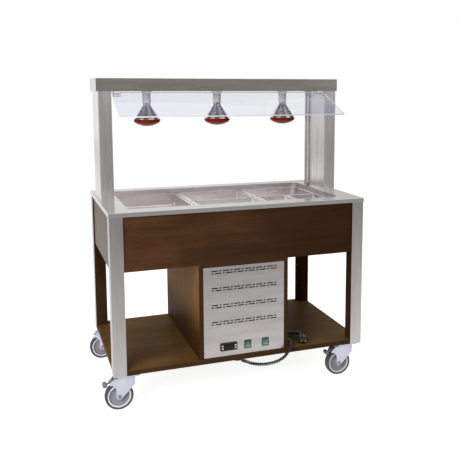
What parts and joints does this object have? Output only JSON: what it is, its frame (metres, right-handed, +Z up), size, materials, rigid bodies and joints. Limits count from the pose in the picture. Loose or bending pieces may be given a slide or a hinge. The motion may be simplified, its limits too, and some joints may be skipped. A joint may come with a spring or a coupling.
{
  "type": "heated buffet display cart",
  "caption": "Wood-clad buffet trolley on swivel casters with a heated well of steel food pans, a control cabinet below, and a lamp gantry with a glass guard above.",
  "frame": {"origin": "on the floor, under the middle of the cart", "axes": "+Z up, -Y towards the front with the controls, +X to the right seen from the front"},
  "size_m": [1.2775, 0.73, 1.445],
  "materials": {
    "dark_wood": "dark stained wood veneer, satin",
    "angle_steel": "satin stainless steel",
    "worktop_steel": "satin stainless steel",
    "pan_steel": "satin stainless steel",
    "element_steel": "heat darkened steel tube",
    "panel_steel": "brushed stainless steel",
    "thermostat_black": "moulded plastic with a smoked window",
    "button_white": "moulded plastic",
    "switch_frame_green": "moulded plastic",
    "rocker_green": "translucent green plastic",
    "contactor_grey": "moulded plastic",
    "gantry_steel": "satin stainless steel",
    "bright_steel": "polished steel",
    "socket_white": "glazed ceramic",
    "bulb_silver": "silvered glass",
    "bulb_red": "red glass front",
    "guard_glass": "clear float glass, polished edges",
    "caster_zinc": "bright zinc plated pressed steel",
    "wheel_grey": "moulded plastic with a pale rim ring",
    "tyre_rubber": "solid grey rubber",
    "pedal_grey": "moulded plastic knob on a steel rod",
    "cord_black": "rubber sheathed curly mains cord",
    "gland_black": "moulded plastic"
  },
  "bodies": {
    "cart": {"corner_posts": "dark_wood", "front_apron": "dark_wood", "back_apron": "dark_wood", "side_aprons": "dark_wood", "bottom_shelf": "dark_wood", "cabinet_left_side": "dark_wood", "cabinet_right_side": "dark_wood", "cabinet_top": "dark_wood", "cabinet_back": "dark_wood", "corner_angles": "angle_steel", "worktop": "worktop_steel", "well_tank": "worktop_steel", "divider_bars": "worktop_steel", "heating_element": "element_steel", "temperature_probe": "element_steel", "control_panel": "panel_steel", "thermostat": "thermostat_black", "switch_frames": "switch_frame_green", "contactor": "contactor_grey", "gantry_post_left": "gantry_steel", "gantry_post_right": "gantry_steel", "gantry_beam": "gantry_steel", "beam_bottom_plate": "gantry_steel", "cable_conduit": "bright_steel", "glass_clamps": "bright_steel", "lamp_sockets": "socket_white", "lamp_reflectors": "bulb_silver", "lamp_fronts": "bulb_red", "glass_guard": "guard_glass", "caster_plates": "caster_zinc", "curly_cord": "cord_black", "cord_plug": "cord_black", "cord_gland": "gland_black"},
    "caster_front_left": {"caster_fork_front_left": "caster_zinc"},
    "wheel_front_left": {"wheel_core_front_left": "wheel_grey", "tyre_front_left": "tyre_rubber"},
    "caster_front_right": {"caster_fork_front_right": "caster_zinc"},
    "wheel_front_right": {"wheel_core_front_right": "wheel_grey", "tyre_front_right": "tyre_rubber"},
    "caster_rear_left": {"caster_fork_rear_left": "caster_zinc"},
    "wheel_rear_left": {"wheel_core_rear_left": "wheel_grey", "tyre_rear_left": "tyre_rubber"},
    "caster_rear_right": {"caster_fork_rear_right": "caster_zinc"},
    "wheel_rear_right": {"wheel_core_rear_right": "wheel_grey", "tyre_rear_right": "tyre_rubber"},
    "pedal_front_left": {"brake_pedal_front_left": "pedal_grey"},
    "pedal_front_right": {"brake_pedal_front_right": "pedal_grey"},
    "rocker_left": {"rocker_left": "rocker_green"},
    "rocker_right": {"rocker_right": "rocker_green"},
    "button_upper_left": {"thermostat_button_upper_left": "button_white"},
    "button_lower_left": {"thermostat_button_lower_left": "button_white"},
    "button_upper_right": {"thermostat_button_upper_right": "button_white"},
    "button_lower_right": {"thermostat_button_lower_right": "button_white"},
    "pan_full": {"food_pan_full": "pan_steel"},
    "pan_middle_front": {"food_pan_middle_front": "pan_steel"},
    "pan_middle_back": {"food_pan_middle_back": "pan_steel"},
    "pan_right_back": {"food_pan_right_back": "pan_steel"},
    "pan_quarter_left": {"food_pan_quarter_left": "pan_steel"},
    "pan_quarter_right": {"food_pan_quarter_right": "pan_steel"}
  },
  "joints": [
    {"name": "swivel_front_left", "type": "hinge", "parent": "cart", "child": "caster_front_left", "pos_m": [-0.532, -0.306, 0.145], "axis": [0, 0, 1], "continuous": true},
    {"name": "wheel_spin_front_left", "type": "hinge", "parent": "caster_front_left", "child": "wheel_front_left", "pos_m": [-0.572, -0.306, 0.0625], "axis": [0, 1, 0], "continuous": true},
    {"name": "swivel_front_right", "type": "hinge", "parent": "cart", "child": "caster_front_right", "pos_m": [0.532, -0.306, 0.145], "axis": [0, 0, 1], "continuous": true},
    {"name": "wheel_spin_front_right", "type": "hinge", "parent": "caster_front_right", "child": "wheel_front_right", "pos_m": [0.492, -0.306, 0.0625], "axis": [0, 1, 0], "continuous": true},
    {"name": "swivel_rear_left", "type": "hinge", "parent": "cart", "child": "caster_rear_left", "pos_m": [-0.532, 0.306, 0.145], "axis": [0, 0, 1], "continuous": true},
    {"name": "wheel_spin_rear_left", "type": "hinge", "parent": "caster_rear_left", "child": "wheel_rear_left", "pos_m": [-0.572, 0.306, 0.0625], "axis": [0, 1, 0], "continuous": true},
    {"name": "swivel_rear_right", "type": "hinge", "parent": "cart", "child": "caster_rear_right", "pos_m": [0.532, 0.306, 0.145], "axis": [0, 0, 1], "continuous": true},
    {"name": "wheel_spin_rear_right", "type": "hinge", "parent": "caster_rear_right", "child": "wheel_rear_right", "pos_m": [0.572, 0.306, 0.0625], "axis": [0, 1, 0], "continuous": true},
    {"name": "brake_pedal_front_left", "type": "hinge", "parent": "caster_front_left", "child": "pedal_front_left", "pos_m": [-0.6, -0.306, 0.129], "axis": [0, 1, 0], "range_deg": [0, 16]},
    {"name": "brake_pedal_front_right", "type": "hinge", "parent": "caster_front_right", "child": "pedal_front_right", "pos_m": [0.464, -0.306, 0.129], "axis": [0, 1, 0], "range_deg": [0, 16]},
    {"name": "rocker_left", "type": "hinge", "parent": "cart", "child": "rocker_left", "pos_m": [0.0145, -0.3385, 0.23], "axis": [1, 0, 0], "range_deg": [-14, 0]},
    {"name": "rocker_right", "type": "hinge", "parent": "cart", "child": "rocker_right", "pos_m": [0.1005, -0.3385, 0.23], "axis": [1, 0, 0], "range_deg": [-14, 0]},
    {"name": "button_upper_left", "type": "slide", "parent": "cart", "child": "button_upper_left", "axis": [0, 1, 0], "range_m": [0, 0.001], "stiffness_N_per_m": 300},
    {"name": "button_lower_left", "type": "slide", "parent": "cart", "child": "button_lower_left", "axis": [0, 1, 0], "range_m": [0, 0.001], "stiffness_N_per_m": 300},
    {"name": "button_upper_right", "type": "slide", "parent": "cart", "child": "button_upper_right", "axis": [0, 1, 0], "range_m": [0, 0.001], "stiffness_N_per_m": 300},
    {"name": "button_lower_right", "type": "slide", "parent": "cart", "child": "button_lower_right", "axis": [0, 1, 0], "range_m": [0, 0.001], "stiffness_N_per_m": 300},
    {"name": "pan_lift_full", "type": "slide", "parent": "cart", "child": "pan_full", "axis": [0, 0, 1], "range_m": [0, 0.15]},
    {"name": "pan_lift_middle_front", "type": "slide", "parent": "cart", "child": "pan_middle_front", "axis": [0, 0, 1], "range_m": [0, 0.15]},
    {"name": "pan_lift_middle_back", "type": "slide", "parent": "cart", "child": "pan_middle_back", "axis": [0, 0, 1], "range_m": [0, 0.15]},
    {"name": "pan_lift_right_back", "type": "slide", "parent": "cart", "child": "pan_right_back", "axis": [0, 0, 1], "range_m": [0, 0.15]},
    {"name": "pan_lift_quarter_left", "type": "slide", "parent": "cart", "child": "pan_quarter_left", "axis": [0, 0, 1], "range_m": [0, 0.15]},
    {"name": "pan_lift_quarter_right", "type": "slide", "parent": "cart", "child": "pan_quarter_right", "axis": [0, 0, 1], "range_m": [0, 0.15]}
  ]
}
